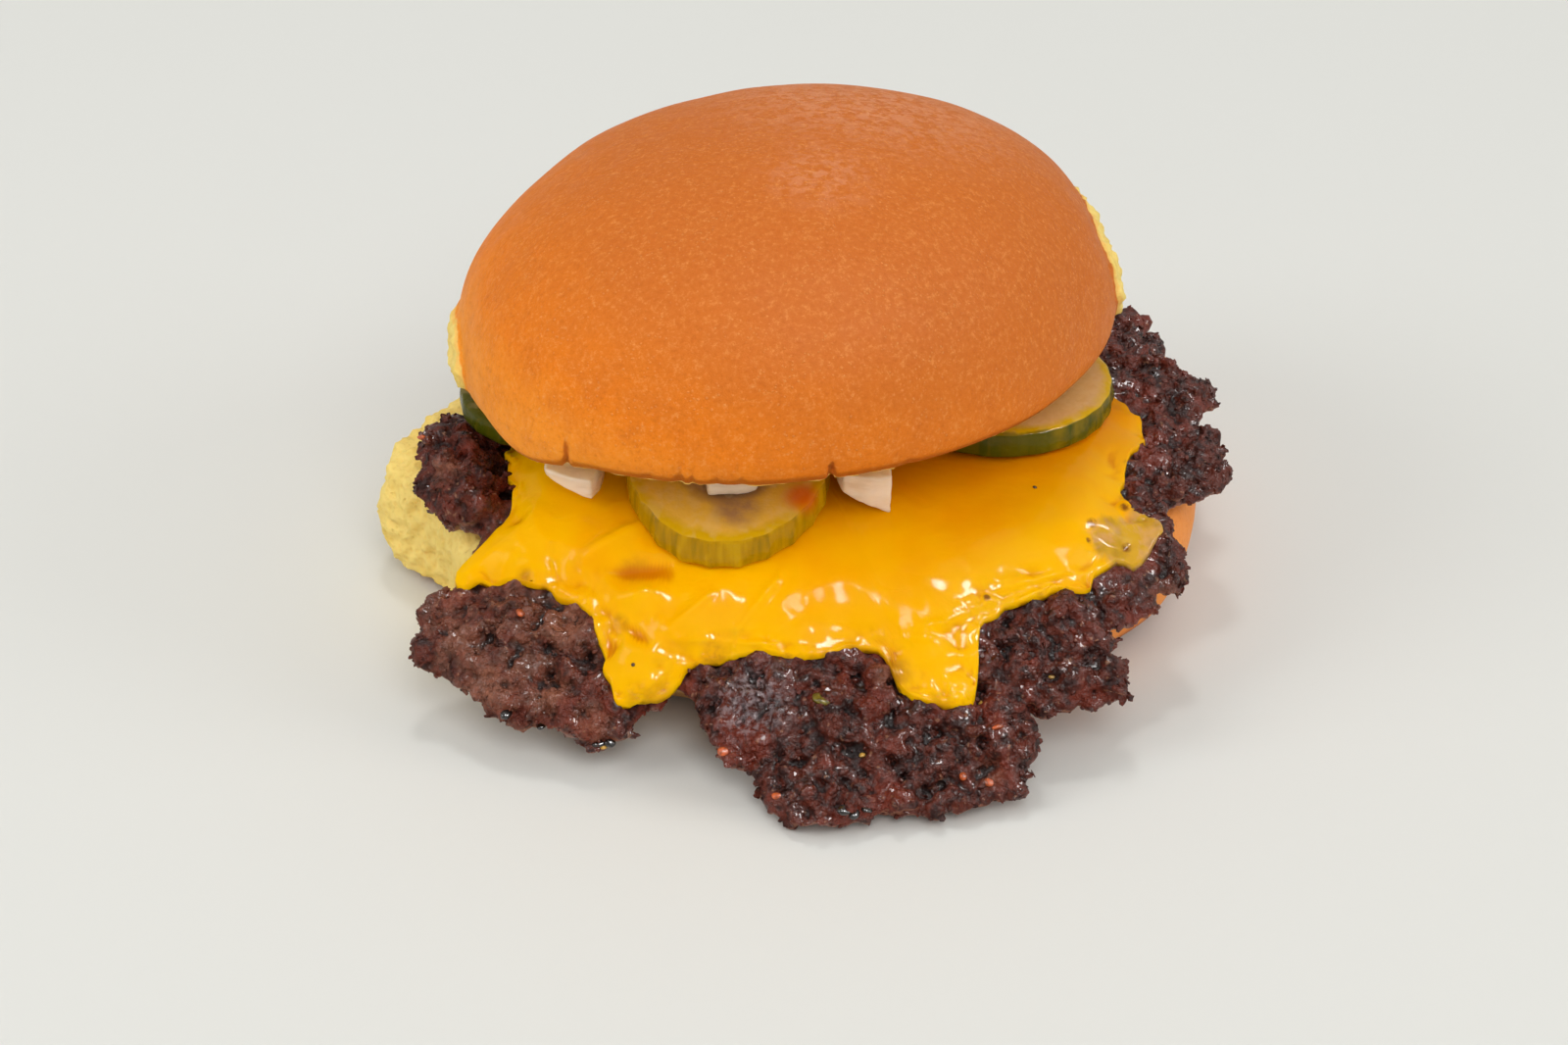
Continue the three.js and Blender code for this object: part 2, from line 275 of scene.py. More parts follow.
def addPiece(name, bm, material, replaces=(), marks=None, flat=False):
    for face in bm.faces:
        face.smooth = not flat
    mesh = meshOf(name, bm)
    for mark, values in (marks or {}).items():
        layer = mesh.attributes.new(mark, "FLOAT", "POINT")
        layer.data.foreach_set("value", np.asarray(values, np.float32))
    mesh.materials.append(material)
    piece = placed(name, mesh)
    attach(piece, "root")
    if replaces:
        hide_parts(*replaces)
    print(name, sum(len(p.vertices) - 2 for p in mesh.polygons), "triangles")


# materials

class Signal:
    # a socket that can be written in sums
    def __init__(self, finish, socket):
        self.finish = finish
        self.socket = socket

    def maths(self, operation, first, second):
        return self.finish.node("ShaderNodeMath", {"operation": operation}, {0: first, 1: second})

    def __add__(self, other):
        return self.maths("ADD", self, other)

    __radd__ = __add__

    def __sub__(self, other):
        return self.maths("SUBTRACT", self, other)

    def __rsub__(self, other):
        return self.maths("SUBTRACT", other, self)

    def __mul__(self, other):
        return self.maths("MULTIPLY", self, other)

    __rmul__ = __mul__


def linear(red, green, blue):
    # a colour from screen values of 0 to 255
    parts = [c / 255 for c in (red, green, blue)]
    return tuple(c / 12.92 if c < 0.04045 else ((c + 0.055) / 1.055) ** 2.4 for c in parts) + (1.0,)


class Finish:
    # a material with named colours, its fixed values given by the names of the shader's sockets
    def __init__(self, name, colours, **fixed):
        self.colours = {key: linear(*value) for key, value in colours.items()}
        self.material = bpy.data.materials.new(name)
        self.material.use_nodes = True
        self.tree = self.material.node_tree
        self.shader = self.tree.nodes["Principled BSDF"]
        for key, value in fixed.items():
            self.shader.inputs[key.replace("_", " ")].default_value = value
        self.place = self.node("ShaderNodeTexCoord", output="Object")

    def node(self, kind, settings=None, sockets=None, output=0):
        made = self.tree.nodes.new(kind)
        for key, value in (settings or {}).items():
            if key == "stops":
                ramp = made.color_ramp.elements
                while len(ramp) < len(value):
                    ramp.new(0.5)
                for element, (position, colour) in zip(ramp, value):
                    element.position = position
                    element.color = self.colours[colour]
            else:
                setattr(made, key, value)
        for key, value in (sockets or {}).items():
            if isinstance(value, Signal):
                self.tree.links.new(value.socket, made.inputs[key])
            else:
                made.inputs[key].default_value = self.colours[value] if isinstance(value, str) else value
        return Signal(self, made.outputs[output])

    def made(self, **signals):
        # the material, with these signals on the sockets of its shader
        for key, signal in signals.items():
            self.tree.links.new(signal.socket, self.shader.inputs[key.replace("_", " ")])
        return self.material

    def mark(self, name):
        return self.node("ShaderNodeAttribute", {"attribute_name": name}, output="Fac")

    def grain(self, size, detail=2.0, stretch=(1, 1, 1), roughness=0.55, distortion=0.0):
        # noise from 0 to 1 whose lumps are about this many millimetres wide
        scaled = self.node("ShaderNodeMapping", sockets={"Vector": self.place, "Scale": stretch})
        return self.node(
            "ShaderNodeTexNoise",
            sockets={
                "Vector": scaled, "Scale": 1 / (size * mm), "Detail": detail,
                "Roughness": roughness, "Distortion": distortion,
            },
        )

    def cells(self, size):
        # distance from the middle of the nearest cell, in shares of this many millimetres
        return self.node(
            "ShaderNodeTexVoronoi", {"feature": "F1"},
            {"Vector": self.place, "Scale": 1 / (size * mm), "Randomness": 1.0}, "Distance",
        )

    def step(self, signal, low, high, bottom=0.0, top=1.0):
        # a soft step between two levels of a signal
        return self.node(
            "ShaderNodeMapRange", {"interpolation_type": "SMOOTHSTEP"},
            {"Value": signal, "From Min": low, "From Max": high, "To Min": bottom, "To Max": top},
        )

    def patches(self, size, detail, low, high, bottom=0.0, top=1.0, **kind):
        # grain after a soft step between two of its levels
        return self.step(self.grain(size, detail, **kind), low, high, bottom, top)

    def mix(self, share, first, second):
        # first and second are signals or names of colours
        return self.node(
            "ShaderNodeMix", {"data_type": "RGBA", "blend_type": "MIX"},
            {"Factor": share, 6: first, 7: second}, output=2,
        )

    def near(self, spot, reach, softness=0.2):
        # 1 within a share of the reach around a spot, and 0 beyond its reach in millimetres
        away = self.node(
            "ShaderNodeVectorMath", {"operation": "DISTANCE"}, {0: self.place, 1: tuple(spot)},
            output="Value",
        )
        return self.step(away, reach * mm, reach * softness * mm)

    def part(self, axis):
        return self.node("ShaderNodeSeparateXYZ", sockets={0: self.place}, output=axis)

    def bump(self, height, depth, after=None):
        sockets = {"Height": height, "Distance": depth * mm, "Strength": 1.0}
        if after:
            sockets["Normal"] = after
        return self.node("ShaderNodeBump", sockets=sockets)


# the two halves of the bun

bunStyle = {
    "voxel": 0.95, "smoothings": 4,
    # layers of relief: size and depth in millimetres, seed
    "swells": [(24, 0.4, 1), (8, 0.12, 2)],
    "ragged": [(3, 0.5, 4), (1.3, 0.4, 9)],  # the edge of the torn crumb
    "shreds": [(2.0, 1.0, 5), (1.0, 0.6, 6)], "shredDepth": 0.7,
    "tuftSize": 4.0, "tuftDepth": 0.9,
    "tornSwell": 0.9,  # how far torn crumb stands out where the crust stood
    "leatherDepth": 0.2, "dustDepth": 0.08, "holeDepth": 0.1,
    "leftLightSlant": 0.28,  # painted light: the crust turns paler towards the left, where more light falls
    "colours": {
        "crustTop": (202, 108, 40), "crustSide": (230, 124, 28), "crustLow": (250, 154, 46),
        # the darker crumb colour is painted shade in the holes, and darker crumb at random too
        "crumb": (246, 216, 126), "crumbShade": (232, 190, 88), "haze": (226, 160, 124),
        # the last colour on the next line is painted shade, for creases and faces that look down
        "speck": (244, 170, 96), "pore": (180, 84, 20), "toast": (150, 66, 20),
    },
}


def bunFinish(name, low, high, tints, hazeSpots):
    style = bunStyle
    finish = Finish(
        name, {**style["colours"], **tints}, Subsurface_Weight=0.1, Subsurface_Scale=0.003,
        Subsurface_Radius=(1.0, 0.4, 0.15), Specular_IOR_Level=0.06,
    )
    blotch = finish.grain(9, 3)
    height = finish.part("Z")
    # painted light: paler crust towards the left, darker towards the right
    slant = finish.part("X") * style["leftLightSlant"]
    rise = finish.step(height + slant + blotch * 0.01, low, high)
    stops = [(0.0, "crustLow"), (0.42, "crustSide"), (1.0, "crustTop")]
    crust = finish.node("ShaderNodeValToRGB", {"stops": stops}, {"Fac": rise})
    mottle = finish.grain(4, 4)
    crust = finish.mix(finish.step(mottle, 0.4, 0.7, 0.0, 0.3), crust, "crustTop")
    leather = finish.grain(0.9, 4, roughness=0.75)
    crust = finish.mix(finish.step(leather, 0.5, 0.72, 0.0, 0.32), crust, "pore")
    crust = finish.mix(finish.step(leather, 0.5, 0.3, 0.0, 0.3), crust, "speck")
    # a dusting of tiny pale blisters, thicker in some places
    thick = finish.patches(7, 3, 0.4, 0.62, 0.25)
    blisters = finish.cells(0.75) + finish.grain(0.5, 1) * 0.4
    dust = finish.step(blisters, 0.5, 0.28) * thick
    crust = finish.mix(dust * 0.34, crust, "speck")
    # painted sheen: a pale, dull haze at its spots, where light glances off the crust
    haze = 0.0
    for spot, reach, strength in hazeSpots:
        haze = haze + finish.near(spot, reach) * strength
    haze = haze * finish.patches(1.5, 5, 0.38, 0.62, distortion=0.6)
    crust = finish.mix(haze, crust, "haze")
    # painted shade: darker creases and foot, where faces look down
    baked = finish.step(finish.mark("lip") + mottle * 0.3, 0.4, 1.1, 0.0, 0.65)
    crust = finish.mix(baked, crust, "toast")
    # torn crumb, with painted shade in its holes
    crumbMark = finish.mark("crumb")
    holes = finish.step(finish.cells(1.0) + finish.grain(1.2, 4) * 0.9, 0.5, 1.0)
    crumb = finish.mix(holes * 0.35 + 0.65, "crumbShade", "crumb")
    edge = finish.step(crumbMark, 0.15, 0.5) * finish.step(crumbMark, 0.85, 0.55)
    crumb = finish.mix(edge * 0.35, crumb, "crustLow")
    crumb = finish.mix(finish.patches(6, 3, 0.45, 0.7, 0.0, 0.5), crumb, "crumbShade")
    inside = finish.step(crumbMark, 0.25, 0.45)
    base = finish.mix(inside, crust, crumb)
    rough = finish.patches(3, 3, 0.3, 0.7, 0.42, 0.55) + haze * 0.2 + inside * 0.3
    skin = finish.bump(leather, style["leatherDepth"], finish.bump(dust, style["dustDepth"]))
    surface = finish.bump(holes * inside, style["holeDepth"], skin)
    return finish.made(Base_Color=base, Roughness=rough, Normal=surface)


def bunHalf(node, tornSides, creases, tints, hazeSpots, moves):
    style = bunStyle
    low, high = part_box(node)
    bm = shaped(nodeMesh(node), rounder(2), fused(style["voxel"]))
    for _ in range(style["smoothings"]):
        bmesh.ops.smooth_vert(
            bm, verts=bm.verts, factor=0.5, use_axis_x=True, use_axis_y=True, use_axis_z=True
        )
    nudge(bm, surfaceOf(node), moves)
    bm.normal_update()

    def crumbAt(v):
        torn = max(side(v) for side in tornSides)
        return ease(-0.6, 0.6, torn + relief(v, style["ragged"]))

    def creased(v):
        return sum(crease(v) for crease in creases)

    # finer faces where crumb or a crease shows
    crumbs = {v: crumbAt(v) for v in bm.verts}

    def finer(e):
        first, second = e.verts
        return crumbs[first] + crumbs[second] > 0.6 and first.normal.z > -0.6 or creased(first) > 0.02

    finerFaces(bm, [e for e in bm.edges if finer(e)])
    crumbs = {v: crumbAt(v) for v in bm.verts}

    def height(v):
        soft = relief(v, style["swells"])
        shreds = style["shredDepth"] * relief(v, style["shreds"]) * crumbs[v]
        shreds += style["tuftDepth"] * (0.4 - abs(lumps(v.co, style["tuftSize"], 7))) * crumbs[v]
        shreds += style["tornSwell"] * crumbs[v] * ease(0.75, 0.4, abs(v.normal.z))
        # flat and quiet underneath
        shreds *= 1 if v.normal.z > -0.6 else 0.3
        return soft * min(1.0, max(v.normal.z + 0.9, 0.0)) + shreds - creased(v)

    pushed(bm, height)
    finish = bunFinish(node + "Crust", low.z, high.z, tints, hazeSpots)
    # painted shade: the creases and the faces that look down
    bakes = [creased(v) * 1.6 + ease(-0.2, -0.7, v.normal.z) for v in bm.verts]
    addPiece(node + "Baked", bm, finish, [node], {"crumb": list(crumbs.values()), "lip": bakes})


crownLow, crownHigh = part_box("bun_crown")
crownStyle = {
    "middle": (0.15, -0.7, 35.6),  # from the middle of its box, height from the table
    # torn sides: facing and rise in degrees, distance from the middle, how far the crumb shows past it
    "torn": [(10, 11, 47.9, 0.3), (184, -6, 47.2, 0.9)],
    # lip creases: place from the lip's left to right in millimetres, depth, width, length
    "creases": [
        (-30.5, 0.7, 0.4, 3.4), (-14.8, 0.35, 0.5, 4.5), (-13.2, 0.3, 0.4, 3), (-10, 0.16, 0.7, 8),
        (-6.5, 0.14, 0.6, 9), (-19, 0.12, 0.8, 7), (5.5, 0.9, 0.4, 1.8), (16, 0.12, 0.8, 5),
    ],
    "lipHeight": 9.0, "lipSlope": 0.12,  # the lip above the crown's lowest point, and how it climbs forward
    # painted sheen: the spots where a pale haze is painted on the crown
    "hazeSpots": [((4, -14, 33), 12, 0.35), ((12, 18, 30), 34, 0.45)],  # place, reach, strength
    # places that sag or swell: pixel, millimetres, reach
    "moves": [((528, 442), (0, -0.3, -2.2), 13)],
}
crownMiddle = ((crownLow + crownHigh) / 2).xy.to_3d() + Vector(crownStyle["middle"]) * mm


def tornFlat(bearing, rise, distance, spread):
    # more than 0 beyond a flat side, where the crumb shows
    bearing, rise = math.radians(bearing), math.radians(rise)
    out = Vector((math.cos(rise) * math.cos(bearing), math.cos(rise) * math.sin(bearing), math.sin(rise)))
    return lambda v: ((v.co - crownMiddle).dot(out) / mm - distance + spread) * 2.2


def crownCut(v):
    return ease(-0.8, -0.93, v.normal.z) * 4 - 2


def lipCrease(x, depth, width, length):
    def cut(v):
        if v.co.y > crownMiddle.y:
            return 0.0
        across = (v.co.x - crownMiddle.x) / mm - x
        climb = crownStyle["lipSlope"] * (crownMiddle.y - v.co.y) / mm
        lipHeight = (v.co.z - crownLow.z) / mm - crownStyle["lipHeight"] - climb
        return depth * math.exp(-((across / width) ** 2)) * (1 - ease(0, length, max(lipHeight, 0)))
    return cut


bunHalf(
    "bun_crown",
    [tornFlat(*flat) for flat in crownStyle["torn"]] + [crownCut],
    [lipCrease(*crease) for crease in crownStyle["creases"]],
    {},
    [(crownMiddle + Vector(spot) * mm, *rest) for spot, *rest in crownStyle["hazeSpots"]],
    crownStyle["moves"],
)


heelStyle = {
    "tornLeft": -36, "crustFoot": 2.2,
    "cutHeights": (16, 19),  # the cut face comes out between these heights
    # paler crust than the crown's: its own pale lower side, and painted light where the patty shades it
    "tints": {"crustTop": (242, 150, 72), "crustSide": (255, 190, 104), "crustLow": (255, 222, 150)},
    "moves": [
        ((426, 572), (3.4, 4.2, 0), 17), ((1150, 655), (-1.4, 1.8, 0), 14), ((1195, 612), (-1.4, 1.2, 0), 12),
    ],
}


def heelTorn(v):
    left = (place(heelStyle["tornLeft"], 0).x - v.co.x) / mm * 0.4
    return min(left, (v.co.z / mm - heelStyle["crustFoot"]) * 0.6)


def heelCut(v):
    return min(ease(0.8, 0.95, v.normal.z), ease(*heelStyle["cutHeights"], v.co.z / mm)) * 4 - 2


bunHalf("bun_heel", [heelTorn, heelCut], [], heelStyle["tints"], [], heelStyle["moves"])
done("bun")


# the smashed patty

pattyStyle = {
    "seed": 12,
    "skinVoxel": 0.8, "voxel": 0.5, "facesLeft": 0.62,
    "cheeseMargin": 5,  # how far the mince reaches in under the cheese
    "clodSize": 4.4, "clodDepth": 2.7, "clodMiddle": 0.62,  # lumps of mince
    "cleftWidth": 0.45,  # clefts between the lumps, in shares of their size
    "heaps": [(11, 0.6, 3)],
    "caveSize": 5, "caveDepth": 1.8, "caveSpread": 8,  # scattered hollows, and how far apart they crowd
    "coveredDepth": 0.2,  # how far it sinks where it is covered
    "pebbleSize": 1.5, "pebbleDepth": 0.5, "grit": [(0.8, 0.12, 4)],
    "tableGap": 0.1,
    # single holes: pixel, depth and width
    "holes": [
        ((557, 611), 2.4, 1.7), ((873, 690), 2.2, 1.1), ((835, 697), 1.8, 1.0), ((1109, 599), 1.6, 0.9),
        ((1015, 640), 1.6, 1.0), ((517, 498), 2.4, 1.5), ((960, 742), 1.6, 1.2),
    ],
    # places that sag or swell: pixel, millimetres, reach
    "moves": [((468, 480), (1.2, -1.8, -0.7), 13), ((1190, 615), (0, 1.2, 0), 9)],
    # thin strands that stand out: from pixel to pixel, thickness
    "strands": [
        ((1126, 700), (1150, 707), 0.7), ((1148, 704), (1157, 717), 0.5), ((1130, 656), (1147, 652), 0.5),
        ((440, 452), (427, 444), 0.8),
    ],
    # paler, less seared meat: pixel, reach, strength
    "tans": [
        ((500, 700), 5, 0.8), ((578, 636), 4.5, 0.9), ((560, 706), 4, 0.6), ((903, 690), 3, 0.8),
        ((730, 671), 2.4, 0.9), ((1190, 612), 4, 0.5), ((452, 478), 4, 0.6), ((470, 655), 3, 0.4),
        ((605, 735), 4, 0.5), ((1010, 790), 3, 0.4),
    ],
    # painted highlight: a pale silvery sheen on the front lobe
    "sheenAt": (768, 716), "sheenReach": 8,
    "greySpot": (-40, -42, 12), "greyReach": 24,
    # granules: one to each square of this side, their radius, and the share of them drawn out to strands
    "grainSpacing": 3.0, "grainSize": (0.6, 1.5), "strandShare": 0.3,
    "grainTilt": 0.5, "grainSink": (-0.4, 0.3),
    "sizeBias": 1.8,  # more than 1 makes more small lumps than large ones
    # loose crumbs of mince, then sharp little flakes of crust
    "bits": {
        "pattyCrumbs": {
            "count": 1300, "size": (0.2, 0.5), "stretch": [(0.6, 1.8), (0.5, 1.2), (0.5, 1.2)],
            "tilt": 1.5, "sink": (-0.3, 0.3), "sharp": False,
        },
        "pattyFlakes": {
            "count": 4600, "size": (0.25, 0.7), "stretch": [(1, 1.7), (0.8, 1.1), (0.25, 0.5)],
            "tilt": 0.45, "sink": (-0.1, 0.05), "sharp": True,
        },
    },
    "bitMargin": 1.2,  # how far the bits keep from the edge of the cheese
    "bitCover": 0.1,  # and how far they may lie in under it
    "bitBumps": [(0.6, 0.25, 5)],
    "colours": {
        "char": (48, 17, 11), "seared": (97, 40, 26), "red": (122, 46, 28), "brown": (156, 98, 74),
        # the near-black colour on the next line is painted shade for the hollows
        "fat": (182, 132, 102), "soot": (20, 9, 8), "silver": (156, 138, 140),
    },
}
up = Vector((0, 0, 1))
pattySurface = surfaceOf("patty")
cheeseSurface = surfaceOf("cheese")
cheeseRim = rimTree("cheese")
heelSurface = surfaceOf("bun_heel")


def pattyFinish():
    style = pattyStyle
    finish = Finish("searedBeef", style["colours"], Specular_IOR_Level=0.25, Coat_Roughness=0.1, Coat_IOR=1.5)
    pit = finish.mark("pit")
    grey = finish.near(place(*style["greySpot"]), style["greyReach"], 0.3)
    base = finish.mix(finish.patches(1.6, 3, 0.36, 0.62), "char", "seared")
    base = finish.mix(finish.patches(6, 3, 0.5, 0.66, 0.0, 0.75), base, "red")
    base = finish.mix(grey * finish.patches(4, 2, 0.35, 0.6) * 0.45, base, "brown")
    base = finish.mix(finish.step(finish.mark("pale"), 0.3, 0.9, 0.0, 0.8), base, "brown")
    base = finish.mix(finish.patches(1.1, 2, 0.64, 0.72, 0.0, 0.45), base, "fat")
    for spot, reach, strength in spotted(pattySurface, style["tans"]):
        tan = finish.near(spot, reach) * finish.patches(2.4, 3, 0.35, 0.6, 0.3)
        base = finish.mix(tan * strength, base, "brown")
    # painted highlight: a silvery sheen where the front lobe catches the light
    silver = finish.near(seen(pattySurface, *style["sheenAt"]), style["sheenReach"])
    base = finish.mix(silver * finish.patches(0.9, 4, 0.42, 0.62) * 0.85, base, "silver")
    # painted shade: near black deep in the hollows of the mince
    base = finish.mix(finish.step(pit, 0.05, 1.2, 0.0, 0.92), base, "soot")
    wet = finish.patches(4, 3, 0.42, 0.62)
    rough, coat = 0.5 - wet * 0.2 - silver * 0.1, wet * 0.32 + 0.03
    fibres = finish.bump(finish.grain(0.35, 3, distortion=0.5), 0.3)
    pebbles = finish.bump(finish.cells(1.1) + finish.grain(0.8, 3) * 0.8, 0.45, fibres)
    return finish.made(Base_Color=base, Roughness=rough, Coat_Weight=coat, Normal=pebbles)


def shown(co, normal, margin):
    # how far a point of the mince is in the open: 0 under the cheese or on the bun
    if normal.z > -0.1 and cheeseSurface.ray_cast(co, up)[0]:
        return ease(margin, 0, cheeseRim.find(co)[2] / mm)
    return 0.0 if normal.z < 0 and heelSurface.ray_cast(co, -up)[0] else 1.0


def clodHeight(co):
    # rounded lumps with sharp clefts between them
    size, wide = pattyStyle["clodSize"], pattyStyle["cleftWidth"]
    warped = co / (size * mm) + 0.35 * noise.noise_vector(co / (0.6 * size * mm))
    first, second = noise.voronoi(warped)[0][:2]
    return 1 - (1 - min(second - first, wide) / wide) ** 2


def caveDepth(co):
    # rounded hollows that crowd in some places
    bent = co / (pattyStyle["caveSize"] * mm) + 0.5 * noise.noise_vector(co / (2.2 * mm)) + Vector((3, 1, 4))
    crowd = ease(-0.1, 0.25, lumps(co, pattyStyle["caveSpread"], 6))
    return pattyStyle["caveDepth"] * ease(0.42, 0.12, noise.voronoi(bent)[0][0]) * crowd


def clods():
    # the patty with its clods, clefts and holes, and how far each vertex is in the open
    style = pattyStyle
    holes = spotted(pattySurface, style["holes"])
    mince = shaped(nodeMesh("patty"), fused(style["skinVoxel"]))
    nudge(mince, pattySurface, style["moves"])
    mince.normal_update()
    bare = {v: shown(v.co, v.normal, style["cheeseMargin"]) for v in mince.verts}

    def rise(v):
        height = style["clodDepth"] * (clodHeight(v.co) - style["clodMiddle"])
        height += relief(v, style["heaps"])
        height -= caveDepth(v.co)
        for spot, depth, reach in holes:
            height -= depth * dent(v, spot, reach)
        # quieter underneath
        height = bare[v] * height * (1.0 if v.normal.z > -0.5 else 0.4)
        return height - style["coveredDepth"] * (1 - bare[v])

    pushed(mince, rise)
    return mince, bare


def granules(mince, bare, draw):
    # matrices of the lumps and strands that stick to the mince
    style = pattyStyle
    small, large = style["grainSize"]
    spots = []
    for face in mince.faces:
        share = face.calc_area() / (style["grainSpacing"] * mm) ** 2 * min(bare[v] for v in face.verts)
        for _ in range(int(share + draw.random())):
            spots.append((face.calc_center_median(), face.normal.copy()))
    matrices = []
    for co, normal in spots:
        radius = small + (large - small) * draw.random() ** style["sizeBias"]
        if draw.random() < style["strandShare"]:
            lengths = (draw.uniform(2.2, 3.6), 0.62, 0.62)
            radius *= 0.75
        else:
            lengths = (draw.uniform(1, 1.5), 1, draw.uniform(0.6, 0.9))
        turn = turnedTo(normal, draw.uniform(0, 6.28))
        tip = Matrix.Rotation(draw.uniform(-style["grainTilt"], style["grainTilt"]), 4, "Y")
        spot = Matrix.Translation(co + normal * radius * draw.uniform(*style["grainSink"]) * mm)
        matrices.append(spot @ turn @ tip @ Matrix.Diagonal((*[k * radius * mm for k in lengths], 1)))
    print("mince", len(matrices), "granules")
    return matrices


def strands():
    # matrices of the single strands that stand out
    matrices = []
    for root, last, thick in spotted(pattySurface, pattyStyle["strands"]):
        tip = atHeight(*last, root.z)
        turn = (tip - root).to_track_quat("X", "Z").to_matrix().to_4x4()
        size = Matrix.Diagonal(((tip - root).length * 0.6, thick * mm, thick * mm, 1))
        matrices.append(Matrix.Translation((root + tip) / 2) @ turn @ size)
    return matrices


def scatterBits(bm, depths, finish, draw):
    # small separate lumps on the faces of the mince that show
    style = pattyStyle

    def loose(face):
        middle = face.calc_center_median()
        if face.normal.z <= -0.6 or shown(middle, face.normal, style["bitCover"]) < 1:
            return False
        return cheeseRim.find(middle)[2] > style["bitMargin"] * mm

    faces = [f for f in bm.faces if loose(f)]
    areas = [f.calc_area() * (2.2 - f.normal.z) for f in faces]
    for name, bit in style["bits"].items():
        small, large = bit["size"]
        matrices, pits = [], []
        for face in draw.choices(faces, areas, k=bit["count"]):
            radius = small + (large - small) * draw.random() ** style["sizeBias"]
            turn = turnedTo(face.normal, draw.uniform(0, 6.28))
            tip = Matrix.Rotation(draw.gauss(0, bit["tilt"]), 4, "Y")
            size = Matrix.Diagonal((*[radius * mm * draw.uniform(*k) for k in bit["stretch"]], 1))
            off = face.normal * radius * draw.uniform(*bit["sink"]) * mm
            matrices.append(Matrix.Translation(face.calc_center_median() + off) @ turn @ tip @ size)
            pits.append(depths[face.verts[0].index])
        bits = bmesh.new()
        addLumps(bits, matrices)
        pushed(bits, lambda v: relief(v, style["bitBumps"]))
        each = len(bits.verts) // bit["count"]
        # each bit takes the painted shade of the hollow it lies in
        marks = {"pit": np.repeat(pits, each) * 0.4, "pale": np.zeros(len(bits.verts))}
        addPiece(name, bits, finish, marks=marks, flat=bit["sharp"])


def makePatty():
    style = pattyStyle
    draw = random.Random(style["seed"])
    mince, bare = clods()
    addLumps(mince, granules(mince, bare, draw) + strands())
    bm = shaped(mince, fused(style["voxel"]), thinned(style["facesLeft"]))

    def grit(v):
        pebbles = style["pebbleDepth"] * (0.3 - abs(lumps(v.co, style["pebbleSize"], 8)))
        return pebbles + relief(v, style["grit"])

    pushed(bm, grit)
    raised(bm, style["tableGap"])
    tree = BVHTree.FromBMesh(bm)
    finish = pattyFinish()
    # how deep each vertex lies, for the painted shade in the hollows
    depths = hollows(bm, 8) * 0.45 + hollows(bm, 60) * 1.2
    pales = [ease(0.1, -0.7, v.normal.z) for v in bm.verts]
    scatterBits(bm, depths, finish, draw)
    addPiece("pattyMince", bm, finish, ["patty"], {"pit": depths, "pale": pales})
    return tree


minceTree = makePatty()
done("patty")


# the melted cheese

